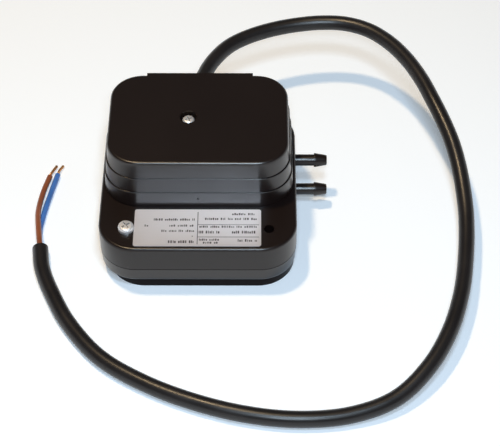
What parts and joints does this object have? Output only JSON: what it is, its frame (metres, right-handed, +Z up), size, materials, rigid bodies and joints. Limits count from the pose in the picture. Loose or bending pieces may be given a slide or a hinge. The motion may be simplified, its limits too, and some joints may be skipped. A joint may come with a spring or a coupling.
{
  "type": "differential pressure switch",
  "caption": "Black square differential pressure switch for air with a stepped switch block, two side hose nozzles and a fixed two-core cable.",
  "frame": {"origin": "centre of the square base's underside", "axes": "+Z up through the cover, +X towards the two hose nozzles, +Y towards the cable outlet"},
  "size_m": [0.1947, 0.2135, 0.0507],
  "materials": {
    "housing": "black moulded plastic, satin on top with glossy walls",
    "plate": "satin silver rating plate",
    "zinc": "bright zinc plated steel",
    "sheet_steel": "galvanised sheet steel",
    "brass": "brass",
    "alloy": "pressed aluminium",
    "membrane": "red brown silicone rubber",
    "rubber": "black rubber",
    "acetal": "natural acetal",
    "switch_case": "dark phenolic",
    "plunger_red": "red plunger plastic",
    "jacket": "slightly glossy black PVC",
    "brown_pvc": "brown PVC",
    "blue_pvc": "blue PVC",
    "copper": "bare copper strands"
  },
  "bodies": {
    "housing": {"lower_shell": "housing", "upper_shell": "housing", "switch_frame": "housing", "cover": "housing", "cover_gasket": "rubber", "cover_screw": "zinc", "housing_screws": "zinc", "frame_screws": "zinc", "low_nozzle": "housing", "high_nozzle": "housing", "rating_plate": "plate", "diaphragm": "membrane", "pin_seal": "rubber", "lever_bracket": "sheet_steel", "pivot_pin": "zinc", "measuring_spring": "zinc", "setting_bridge": "sheet_steel", "switch_body": "switch_case", "switch_terminals": "brass", "switch_bracket": "sheet_steel", "switch_screws": "zinc", "bracket_screws": "zinc", "cable_clamp": "housing", "clamp_screws": "zinc", "cable_boot": "rubber", "brown_lead": "brown_pvc", "blue_lead": "blue_pvc", "cable": "jacket", "brown_core": "brown_pvc", "blue_core": "blue_pvc", "brown_strands": "copper", "blue_strands": "copper"},
    "diaphragm_stack": {"upper_plate": "alloy", "lower_plate": "alloy", "push_pin": "acetal"},
    "lever": {"switch_lever": "brass"},
    "plunger": {"switch_plunger": "plunger_red"},
    "knob": {"setting_knob": "acetal", "knob_clip": "zinc"},
    "seat": {"spring_seat": "brass"}
  },
  "joints": [
    {"name": "diaphragm_lift", "type": "slide", "parent": "housing", "child": "diaphragm_stack", "axis": [0, 0, 1], "range_m": [0, 0.0006], "stiffness_N_per_m": 300, "deforming": ["diaphragm"]},
    {"name": "lever_tilt", "type": "hinge", "parent": "housing", "child": "lever", "pos_m": [-0.016, 0, 0.0303], "axis": [0, -1, 0], "range_deg": [0, 2.15]},
    {"name": "plunger_press", "type": "slide", "parent": "housing", "child": "plunger", "axis": [0, 0, 1], "range_m": [0, 0.00104]},
    {"name": "seat_slide", "type": "slide", "parent": "housing", "child": "seat", "axis": [0, 0, -1], "range_m": [0, 0.002], "deforming": ["measuring_spring"]},
    {"name": "knob_turn", "type": "hinge", "parent": "housing", "child": "knob", "pos_m": [0, 0, 0.042], "axis": [0, 0, -1], "range_deg": [0, 300]}
  ],
  "couplings": [
    {"joint": "lever_tilt", "follows": "diaphragm_lift", "rad_per_m": 62.5},
    {"joint": "plunger_press", "follows": "diaphragm_lift", "ratio": 1.7188},
    {"joint": "knob_turn", "follows": "seat_slide", "rad_per_m": 2618}
  ]
}
